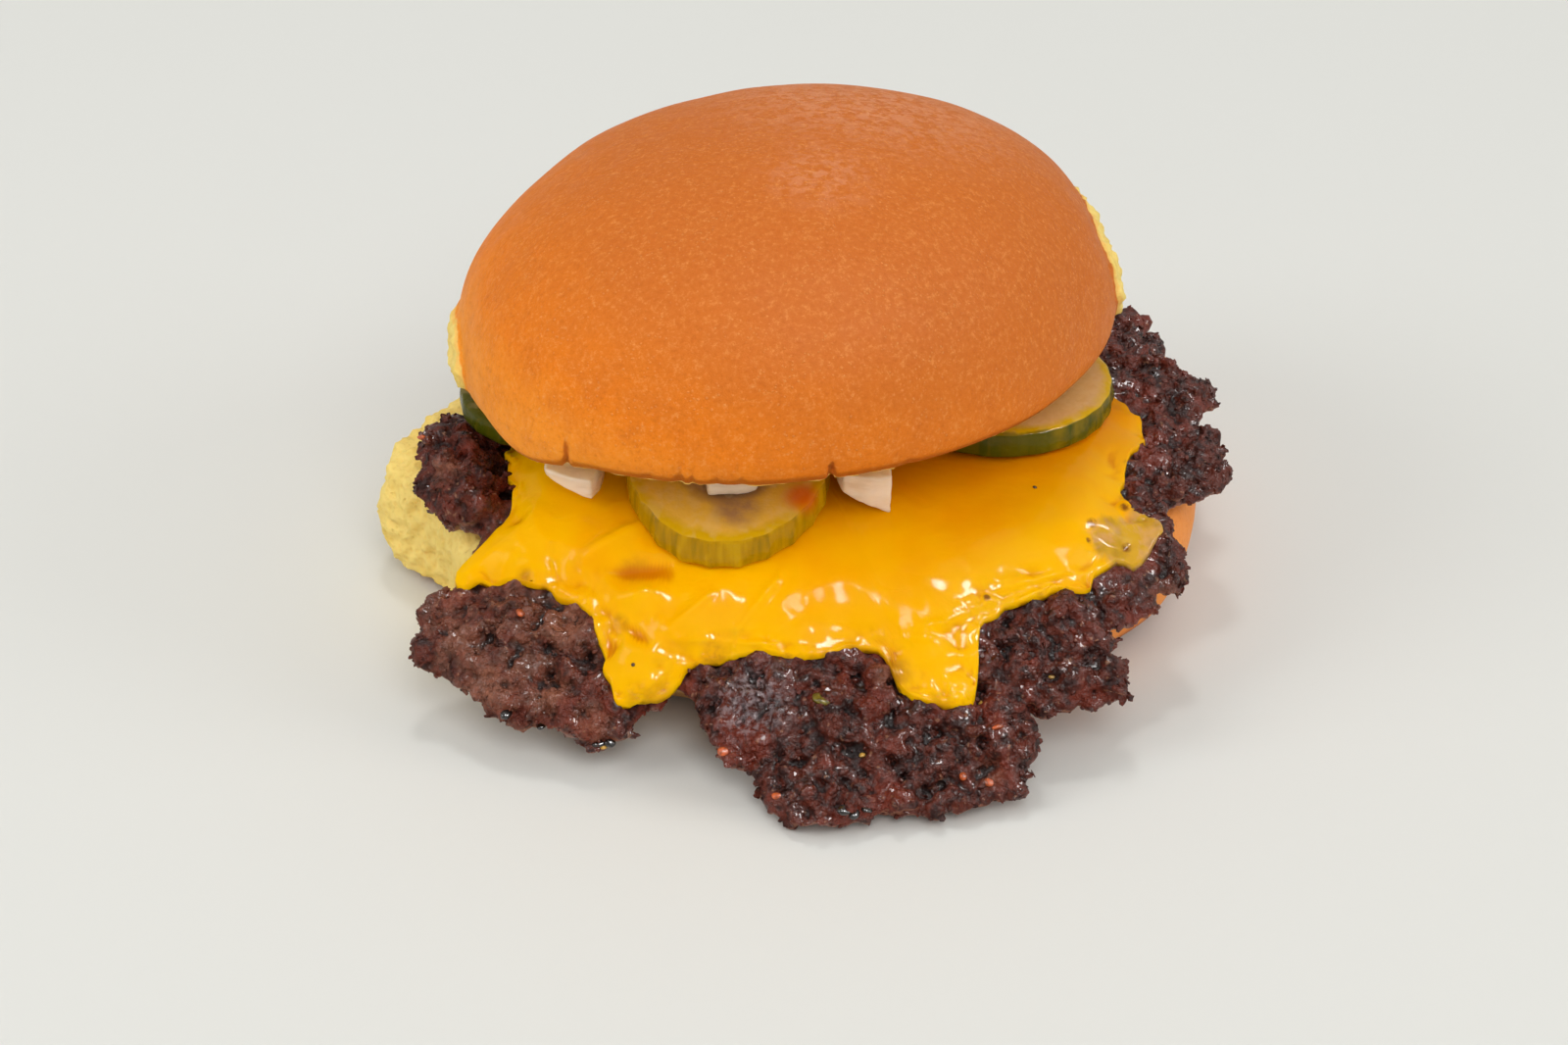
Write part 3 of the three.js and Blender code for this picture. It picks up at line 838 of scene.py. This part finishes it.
cheeseStyle = {
    "films": [((1134, 548), 5.5), ((1160, 558), 7), ((1184, 566), 8), ((1150, 580), 4)],  # pixel and reach
    # thin patches where the meat shows through, and at (648, 584) painted shade in a hollow: pixel, reach,
    # strength
    "patches": [
        ((652, 724), 2.5, 0.5), ((672, 708), 2.5, 0.4), ((900, 690), 3.5, 0.8), ((728, 668), 2.6, 0.7),
        ((632, 636), 2, 0.6), ((648, 584), 3.6, 0.45), ((945, 726), 2.5, 0.5), ((536, 588), 1.8, 0.6),
        ((868, 672), 2, 0.5), ((1130, 560), 3, 0.4),
    ],
    # melted tips: pixel, millimetres drawn to the right and to the back, widening, reach
    "tips": [
        ((648, 734), (0, 1.2), 0.35, 6), ((956, 734), (0, 0.3), 0.5, 6.5), ((1160, 610), (0, 5.0), 0, 9.5),
        ((1196, 575), (0, 1.0), 0, 5), ((704, 700), (0, 3.0), 0, 6.5), ((676, 726), (0, 1.0), 0, 3),
        ((1113, 607), (0, 3.2), 0, 5.5), ((1184, 572), (0, -1.6), 0, 6), ((500, 520), (3.4, -0.5), 0, 10),
    ],
    "wander": 1.1, "wanderReach": (8, 1),  # how far the melted edge strays, and how far in
    "edgeFilm": 0.35, "drapeWidth": 7,
    "drapeStep": 0.8,  # spacing of the places where the ground under it is felt
    "foldSize": 3.4, "foldDepth": 0.16,
    "swells": [(8, 0.15, 6)], "rimSwells": [(2.2, 0.35, 9)],
    # raised wrinkles and sunk folds between two pixels, with their height and width
    "wrinkles": [
        ((598, 568), (654, 538), 1.3, 1.3), ((618, 583), (680, 582), -1.0, 1.8),
        ((636, 609), (672, 606), 1.6, 2.0), ((684, 641), (727, 605), 0.6, 0.6),
        ((752, 643), (793, 593), 0.6, 0.6), ((671, 632), (690, 652), 0.5, 0.6),
        ((688, 652), (722, 653), 0.5, 0.6), ((721, 652), (792, 659), 0.5, 0.5),
        ((734, 642), (768, 641), 0.3, 0.45), ((648, 662), (690, 674), 0.6, 1.0),
        ((655, 705), (672, 690), 0.5, 0.8), ((545, 590), (600, 612), 0.5, 1.0),
        ((525, 570), (560, 580), 0.4, 1.2), ((893, 649), (960, 637), 0.5, 0.6),
        ((905, 654), (950, 650), 0.4, 0.45), ((960, 636), (1012, 612), 0.6, 0.55),
        ((970, 622), (1008, 608), 0.4, 0.4), ((1013, 603), (1090, 583), 0.5, 0.55),
        ((1040, 613), (1074, 598), 0.5, 0.5), ((1018, 594), (1040, 590), 0.3, 0.4),
        ((1104, 586), (1140, 575), 0.5, 0.6), ((1120, 590), (1132, 568), 0.3, 0.4),
        ((1112, 588), (1122, 566), 0.3, 0.4), ((965, 690), (975, 716), 0.4, 0.6),
        ((950, 700), (957, 724), 0.4, 0.6), ((925, 680), (975, 668), 0.3, 0.7),
        ((520, 505), (548, 545), 0.25, 1.8), ((640, 640), (660, 655), -0.7, 0.9),
        ((795, 640), (812, 634), 0.3, 0.8),
    ],
    # hollows: pixel, depth and reach
    "hollows": [
        ((1149, 559), 0.7, 0.8), ((640, 586), 0.6, 2.2), ((850, 561), 0.25, 3), ((858, 617), 0.25, 3),
        ((1112, 540), 0.5, 1.2),
    ],
    # brown bits and the ring of a bubble: pixel and reach
    "stains": [
        ((1114, 533), 1.0), ((1111, 551), 0.7), ((1007, 609), 0.8), ((1149, 559), 1.0),
        ((1147, 517), 1.0), ((646, 678), 0.4),
    ],
    "crownShade": (17, 5), "shadeRise": (-14, 8),  # dark close to the crown, and from left to right
    "creaseShade": 0.75,
    "colours": {
        "body": (249, 182, 0), "deep": (242, 161, 0), "thin": (176, 116, 20), "film": (202, 156, 46),
        "haze": (206, 158, 96), "shade": (200, 100, 0), "stain": (118, 62, 24),
    },
}


def cheeseFinish(films, patches, stains):
    finish = Finish(
        "meltedCheese", cheeseStyle["colours"], Subsurface_Weight=0.25, Subsurface_Scale=0.002,
        Subsurface_Radius=(1.0, 0.5, 0.05), Specular_IOR_Level=0.01, Coat_Roughness=0.1,
    )
    base = finish.mix(finish.patches(14, 2, 0.4, 0.7, 0.0, 0.6), "body", "deep")
    thin = finish.mark("thin") + finish.grain(2.6, 3) * 0.7
    base = finish.mix(finish.step(thin, 1.2, 1.65), base, "thin")
    ragged = finish.patches(1.8, 3, 0.3, 0.6, 0.35)
    # the patch at the hollow is painted shade, the others thin cheese
    for spot, reach, strength in patches:
        base = finish.mix(finish.near(spot, reach) * ragged * strength, base, "thin")
    base = finish.mix(finish.mark("shade"), base, "shade")
    # the thin film, milky and a little clear
    whole = 1 - finish.near(*films[0])
    for spot, reach in films[1:]:
        whole = (1 - finish.near(spot, reach)) * whole
    streaks = finish.grain(1.6, 4, (1, 0.5, 1), distortion=0.8)
    film = finish.step(1 - whole + streaks * 0.8, 0.65, 1.25, 0.0, 0.85)
    clouds = finish.patches(3, 3, 0.42, 0.6, distortion=0.5)
    base = finish.mix(film, base, finish.mix(clouds, "film", "haze"))
    for spot, reach in stains:
        bit = finish.near(spot, reach, 0.3) * finish.patches(0.7, 3, 0.3, 0.6, 0.2, 0.9)
        base = finish.mix(bit, base, "stain")
    return finish.made(
        Base_Color=base,
        Alpha=1 - film * finish.patches(3.5, 2, 0.4, 0.7, 0.0, 0.35),
        Roughness=finish.patches(6, 2, 0.3, 0.7, 0.3, 0.45),
        Coat_Weight=finish.patches(8, 2, 0.35, 0.65, 0.06, 0.3),
        Normal=finish.bump(finish.grain(1.6, 2, (0.5, 1, 1), distortion=1.0), 0.06),
    )


def offLine(co, start, end):
    # distance from a line in millimetres, and the share of the way along it
    along = min(max((co - start).dot(end - start) / (end - start).length_squared, 0), 1)
    return (co - start.lerp(end, along)).length / mm, along


def wrinklesOn(tree):
    return [(seen(tree, *a), seen(tree, *b), *rest) for a, b, *rest in cheeseStyle["wrinkles"]]


def finerWrinkles(bm):
    # finer faces where it wrinkles
    lines = wrinklesOn(BVHTree.FromBMesh(bm))
    bm.normal_update()

    def wrinkled(v):
        return any(offLine(v.co, a, b)[0] < 2 * wide + 0.5 for a, b, high, wide in lines)

    fine = {v for v in bm.verts if v.normal.z > 0 and wrinkled(v)}
    finerFaces(bm, [e for e in bm.edges if e.verts[0] in fine and e.verts[1] in fine])


def melt(bm, inward):
    # the tips draw back and the edge strays, both faces alike
    for spot, (right, back), wider, reach in spotted(BVHTree.FromBMesh(bm), cheeseStyle["tips"]):
        for v in bm.verts:
            pull = ease(reach, 0, (v.co - spot).xy.length / mm)
            if pull:
                aside = (v.co.x - spot.x) * wider + right * mm
                v.co += Vector((aside, back * mm, 0.15 * back * mm)) * pull
    for v in bm.verts:
        flat = Vector((v.co.x, v.co.y, 0)) / mm
        stray = noise.noise_vector(flat / 3.2) + 0.8 * noise.noise_vector(flat / 8)
        hold = ease(*cheeseStyle["wanderReach"], inward[v])
        v.co += Vector((stray.x, stray.y, 0)) * cheeseStyle["wander"] * hold * mm


def groundUnder(v):
    # the height of the mince around a vertex, nearer to its highest point
    step = cheeseStyle["drapeStep"]
    spots = [(0, 0), (1, 1), (-1, 1), (1, -1), (-1, -1), (2, 0), (-2, 0), (0, 2), (0, -2)]
    above = [Vector((v.co.x + x * step * mm, v.co.y + y * step * mm, 0.06)) for x, y in spots]
    hits = [minceTree.ray_cast(co, -up)[0] for co in above]
    heights = [hit.z for hit in hits if hit]
    return 0.5 * (sum(heights) / len(heights) + max(heights)) if heights else None


def drape(bm, inward, upper):
    # it sinks onto the mince at its edge
    style = cheeseStyle
    for v in bm.verts:
        if inward[v] > style["drapeWidth"]:
            continue
        ground = groundUnder(v)
        if ground is None:
            continue
        cover = style["edgeFilm"] + relief(v, style["rimSwells"]) + 0.15 * inward[v]
        aim = ground + (upper[v] * (cover + 0.5) - 0.5) * mm
        hold = ease(style["drapeWidth"], 2, inward[v]) * ease(5.5, 2.5, abs(v.co.z - ground) / mm)
        v.co.z += (aim - v.co.z) * hold


def makeCheese():
    style = cheeseStyle
    bm = shaped(nodeMesh("cheese"), rounder(2))
    finerWrinkles(bm)
    inward = {v: cheeseRim.find(v.co)[2] / mm for v in bm.verts}
    upper = {v: ease(-0.2, 0.5, v.normal.z) for v in bm.verts}
    melt(bm, inward)
    drape(bm, inward, upper)
    bm.normal_update()
    tree = BVHTree.FromBMesh(bm)
    wrinkles = wrinklesOn(tree)
    dents = spotted(tree, style["hollows"])

    def folds(v):
        fold = 1 - abs(lumps(v.co, style["foldSize"], 2)) * 2
        height = style["foldDepth"] * fold * ease(0.5, 4, inward[v])
        height += relief(v, style["swells"])
        for start, end, high, wide in wrinkles:
            off, along = offLine(v.co, start, end)
            swell = math.sin(math.pi * (0.15 + 0.7 * along)) ** 0.5
            height += high * math.exp(-((off / wide) ** 2)) * swell
        for spot, depth, reach in dents:
            height -= depth * dent(v, spot, reach)
        return upper[v] * height

    pushed(bm, folds)
    thin = [ease(3.5, 0.0, inward[v]) for v in bm.verts]
    tree = BVHTree.FromBMesh(bm)
    films, patches, stains = (spotted(tree, style[key]) for key in ("films", "patches", "stains"))
    crown = surfaceOf("bun_crown")
    creases = hollows(bm, 14)

    def shade(v):
        # darker close under the crown, most of all on its right, and in the creases
        close = ease(*style["crownShade"], crown.find_nearest(v.co)[3] / mm)
        crowned = close * ease(*style["shadeRise"], (v.co.x - heelMiddle.x) / mm)
        return max(crowned, style["creaseShade"] * ease(0.06, 0.5, creases[v.index]) * upper[v])

    marks = {"thin": thin, "shade": [shade(v) for v in bm.verts]}
    addPiece("cheeseMelted", bm, cheeseFinish(films, patches, stains), ["cheese"], marks)
    return tree


cheeseTree = makeCheese()
done("cheese")


# pickle chips

pickleStyle = {
    "bevel": 0.35, "bumps": [(3, 0.1, 2)],
    # each chip: how dark its skin is, its own colours, and the pixels of its dark core and of a painted
    # orange reflection from the crown
    "chips": {
        "pickle_front": {
            "skinShare": 0.03, "flesh": (226, 178, 70), "band": (206, 162, 8),
            "cores": [(752, 518)], "stains": [(818, 506)],
        },
        "pickle_right": {"skinShare": 0.7, "flesh": (214, 167, 108), "band": (206, 162, 8)},
        # painted shade: the left chip's flesh and band are painted dark, as it lies in the crown's shade
        "pickle_left": {"skinShare": 0.85, "flesh": (96, 92, 24), "band": (84, 84, 16)},
    },
    "coreReach": 4.6, "stainReach": 3.6,
    "colours": {
        "wall": (180, 134, 0), "skin": (70, 74, 6), "seed": (222, 190, 140), "core": (160, 120, 84),
        # the colour on the next line is a painted reflection of the orange crown
        "juice": (216, 84, 12),
    },
}


def pickleFinish(name, chip, cores, stains):
    style = pickleStyle
    finish = Finish(
        name, {**style["colours"], "flesh": chip["flesh"], "band": chip["band"]}, Subsurface_Weight=0.3,
        Subsurface_Scale=0.002, Subsurface_Radius=(0.9, 0.8, 0.2), Specular_IOR_Level=0.06, Coat_Weight=0.15,
        Coat_Roughness=0.07,
    )
    away = finish.mark("share") + finish.grain(3, 2) * 0.14 - 0.07
    stops = [(0.0, "core"), (0.46, "core"), (0.62, "flesh"), (0.84, "flesh"), (0.93, "band")]
    face = finish.node("ShaderNodeValToRGB", {"stops": stops}, {"Fac": away})
    face = finish.mix(finish.patches(2.2, 2, 0.45, 0.65, 0.0, 0.2), face, "seed")
    seeds = finish.step(finish.cells(3.0), 0.3, 0.2) * finish.step(away, 0.2, 0.3)
    seeds = seeds * finish.step(away, 0.64, 0.54)
    face = finish.mix(seeds * 0.7, face, "seed")
    streak = finish.grain(1.5, 2, (1, 1, 0.12))
    side = finish.mix(finish.step(streak, 0.45, 0.65, 0.0, 0.6), "wall", "band")
    green = finish.step(streak, 0.48, 0.34, 0.0, 0.3) + chip["skinShare"]
    side = finish.mix(green, side, "skin")
    wall = finish.step(finish.mark("wall"), 0.3, 0.7)
    rim = finish.step(away, 0.95, 0.99) * chip["skinShare"]
    base = finish.mix(rim, finish.mix(wall, face, side), "skin")
    for core in cores:
        dull = finish.near(core, style["coreReach"], 0.3) * finish.patches(2, 3, 0.3, 0.6, 0.5, 0.9)
        base = finish.mix(dull, base, "core")
    # painted reflection: the crown's orange light where the chip lies under its lip
    for stain in stains:
        base = finish.mix(finish.near(stain, style["stainReach"]) * 0.8, base, "juice")
    rough = finish.patches(2, 2, 0.3, 0.7, 0.2, 0.4)
    return finish.made(Base_Color=base, Roughness=rough, Normal=finish.bump(finish.grain(1.2, 2), 0.14))


for name, chip in pickleStyle["chips"].items():
    low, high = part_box(name)
    middle = (low + high) / 2
    reach = (high.x - low.x) / 2
    bm = shaped(nodeMesh(name), softEdges(pickleStyle["bevel"]), rounder(2))
    pushed(bm, lambda v: relief(v, pickleStyle["bumps"]))
    shares = [(v.co - middle).xy.length / reach for v in bm.verts]
    walls = [ease(0.85, 0.5, abs(v.normal.z)) for v in bm.verts]
    tree = BVHTree.FromBMesh(bm)
    cores, stains = ([seen(tree, *pixel) for pixel in chip.get(key, [])] for key in ("cores", "stains"))
    finish = pickleFinish(name + "Flesh", chip, cores, stains)
    addPiece(name + "Chip", bm, finish, [name], {"share": shares, "wall": walls})


# diced onion

onionStyle = {
    "bevel": 0.45, "bumps": [(3, 0.3, 3), (1.2, 0.12, 1)],
    # each dice: share of its height at its left and right ends, share of its width, millimetres that it
    # goes to the right and comes forward, and how much further forward at its right end
    "cuts": {
        "onion_left": (0.3, 0.92, 0.95, 0.0, 0.0, 0.6), "onion_middle": (1.25, 1.25, 0.9, 0.3, 3.0, 0.0),
        "onion_right": (0.5, 1.25, 0.9, -0.8, 0.4, 1.9),
    },
    "stained": ["onion_right"], "stainReach": 5,
    "colours": {"flesh": (244, 224, 202), "vein": (208, 180, 146), "stain": (216, 110, 50)},
}


def onionFinish(name, stains):
    finish = Finish(
        name, onionStyle["colours"], Subsurface_Weight=0.5, Subsurface_Scale=0.002,
        Subsurface_Radius=(1.0, 0.85, 0.6), Specular_IOR_Level=0.4, Coat_Weight=0.4, Coat_Roughness=0.1,
    )
    lines = finish.grain(0.9, 2, (0.25, 0.5, 1))
    base = finish.mix(finish.step(lines, 0.42, 0.68, 0.0, 0.4), "flesh", "vein")
    for stain in stains:
        dots = finish.near(stain, onionStyle["stainReach"]) * finish.patches(1.3, 2, 0.5, 0.62)
        base = finish.mix(dots * 0.8, base, "stain")
    rough = finish.step(lines, 0.3, 0.7, 0.2, 0.35)
    return finish.made(Base_Color=base, Roughness=rough, Normal=finish.bump(lines, 0.12))


for name, (tallLeft, tallRight, width, aside, forward, swing) in onionStyle["cuts"].items():
    low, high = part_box(name)
    middle = (low + high) / 2
    bm = shaped(nodeMesh(name), softEdges(onionStyle["bevel"]), rounder(2))
    for v in bm.verts:
        across = (v.co.x - low.x) / (high.x - low.x)
        v.co.x = middle.x + (v.co.x - middle.x) * width + aside * mm
        v.co.y -= (forward + swing * across) * mm
        v.co.z = high.z + (v.co.z - high.z) * (tallLeft + (tallRight - tallLeft) * across)
    pushed(bm, lambda v: relief(v, onionStyle["bumps"]))
    stains = [high] if name in onionStyle["stained"] else []
    addPiece(name + "Dice", bm, onionFinish(name + "Flesh", stains), [name])
done("fillings")


# specks, flakes and drops of fat on the meat and the cheese; the drops are also painted contact shadow

bitStyle = {
    "seed": 5,
    "tableGap": 0.05,
    "bumpSize": 0.9, "bumpShare": 0.2,
    "wet": ["fatDrops"], "slots": {"cheeseSpecks": "cheese"},  # all others are dry
    # each kind: its colour, what it lies on, its size, and the pixels where it shows
    "kinds": {
        "pepperFlakes": {
            "tint": (204, 92, 36), "on": minceTree, "size": 0.7,
            "at": [(531, 625), (705, 750), (793, 812), (983, 792), (1009, 798), (1018, 742), (430, 446)],
        },
        "cheeseSpecks": {
            "tint": (222, 170, 70), "on": minceTree, "size": 0.5,
            "at": [(1001, 717), (1073, 690), (616, 762), (880, 770)],
        },
        "greenBits": {"tint": (128, 112, 22), "on": minceTree, "size": 1.3, "at": [(838, 713)]},
        "darkSpecks": {"tint": (60, 24, 8), "on": cheeseTree, "size": 0.36, "at": [(1056, 497), (646, 678)]},
        # wet fat at the meat's feet, its near black partly painted contact shadow
        "fatDrops": {
            "tint": (24, 15, 10), "on": minceTree, "size": 0.9,
            "at": [(862, 826), (872, 830), (884, 826), (517, 728), (552, 740), (612, 758), (622, 758)],
        },
    },
}


def bitFinish(name, tint, wet):
    finish = Finish(
        name, {"light": tint, "dark": [0.7 * c for c in tint]}, Specular_IOR_Level=0.5,
        Coat_Weight=0.8 if wet else 0.3, Coat_Roughness=0.05,
    )
    base = finish.mix(finish.patches(0.6, 2, 0.35, 0.65), "light", "dark")
    rough = finish.patches(0.8, 2, 0.3, 0.7, 0.15 if wet else 0.35, 0.5)
    return finish.made(Base_Color=base, Roughness=rough, Normal=finish.bump(finish.grain(0.4, 2), 0.05))


draw = random.Random(bitStyle["seed"])
for name, kind in bitStyle["kinds"].items():
    matrices = []
    for pixel in kind["at"]:
        turn = Matrix.Rotation(draw.uniform(0, 3.1), 4, "Z")
        turn = turn @ Matrix.Rotation(draw.uniform(-0.6, 0.6), 4, "X")
        lengths = (draw.uniform(0.9, 1.3), draw.uniform(0.7, 1.0), draw.uniform(0.4, 0.7))
        size = Matrix.Diagonal((*[kind["size"] * mm * k for k in lengths], 1))
        matrices.append(Matrix.Translation(seen(kind["on"], *pixel)) @ turn @ size)
    bm = bmesh.new()
    addLumps(bm, matrices, 3)
    bumpDepth = bitStyle["bumpShare"] * kind["size"]
    pushed(bm, lambda v: bumpDepth * lumps(v.co, bitStyle["bumpSize"], 2))
    raised(bm, bitStyle["tableGap"])
    finish = bitFinish(name, kind["tint"], name in bitStyle["wet"])
    addPiece(name, bm, finish)
done("bits")


# table, light and camera

stageStyle = {
    "colours": {"table": (221, 221, 216), "tableShade": (214, 214, 206)},
    "tableReach": 3.0, "tableGrain": 220,
    "sky": (250, 250, 248), "skyStrength": 0.5,
    "lampAim": 30,  # height at which the lamps aim
    # azimuth (0 is the front, 90 the right) and elevation in degrees, distance, size, power
    "lamps": {
        "softboxTop": (190, 74, 1.3, 0.22, 2.2), "softboxLeft": (-72, 35, 1.6, 0.8, 6.2),
        "softboxRight": (80, 28, 1.8, 0.9, 5), "softboxFront": (12, 46, 3.0, 1.9, 38),
        "glintFront": (14, 72, 1.0, 0.22, 6.5), "glintRight": (70, 50, 1.0, 0.3, 11),
    },
    "noGlints": ["softboxFront"], "onlyGlints": ["glintFront", "glintRight"],
}


def addTable():
    style = stageStyle
    bm = bmesh.new()
    bmesh.ops.create_grid(bm, x_segments=1, y_segments=1, size=style["tableReach"])
    mesh = meshOf("table", bm)
    finish = Finish("tableTop", style["colours"], Roughness=0.6, Specular_IOR_Level=0.3)
    shade = finish.patches(style["tableGrain"], 1, 0.3, 0.7)
    base = finish.mix(shade * 0.05, "table", "tableShade")
    mesh.materials.append(finish.made(Base_Color=base))
    table = placed("table", mesh)


def addLamp(name, azimuth, elevation, distance, size, power):
    lamp = bpy.data.lights.new(name, "AREA")
    lamp.shape = "DISK"
    lamp.size = size
    lamp.energy = power
    holder = placed(name, lamp)
    azimuth, elevation = math.radians(azimuth), math.radians(elevation)
    flat = math.cos(elevation)
    direction = Vector((math.sin(azimuth) * flat, -math.cos(azimuth) * flat, math.sin(elevation)))
    holder.location = place(0, 0, stageStyle["lampAim"]) + direction * distance
    holder.rotation_euler = direction.to_track_quat("Z", "Y").to_euler()
    holder.visible_glossy = name not in stageStyle["noGlints"]
    holder.visible_diffuse = name not in stageStyle["onlyGlints"]


addTable()
for name, lamp in stageStyle["lamps"].items():
    addLamp(name, *lamp)
world = bpy.data.worlds.new("studio")
world.use_nodes = True
sky = world.node_tree.nodes["Background"].inputs
sky["Color"].default_value = linear(*stageStyle["sky"])
sky["Strength"].default_value = stageStyle["skyStrength"]
scene.world = world
scene.view_settings.view_transform = "Standard"

camera = placed("camera", bpy.data.cameras.new("camera"))
camera.data.lens = viewStyle["lens"]
camera.data.sensor_width = viewStyle["sensor"]
camera.location = viewPoint
camera.rotation_euler = viewBack.to_track_quat("Z", "Y").to_euler()
scene.camera = camera
done("stage")
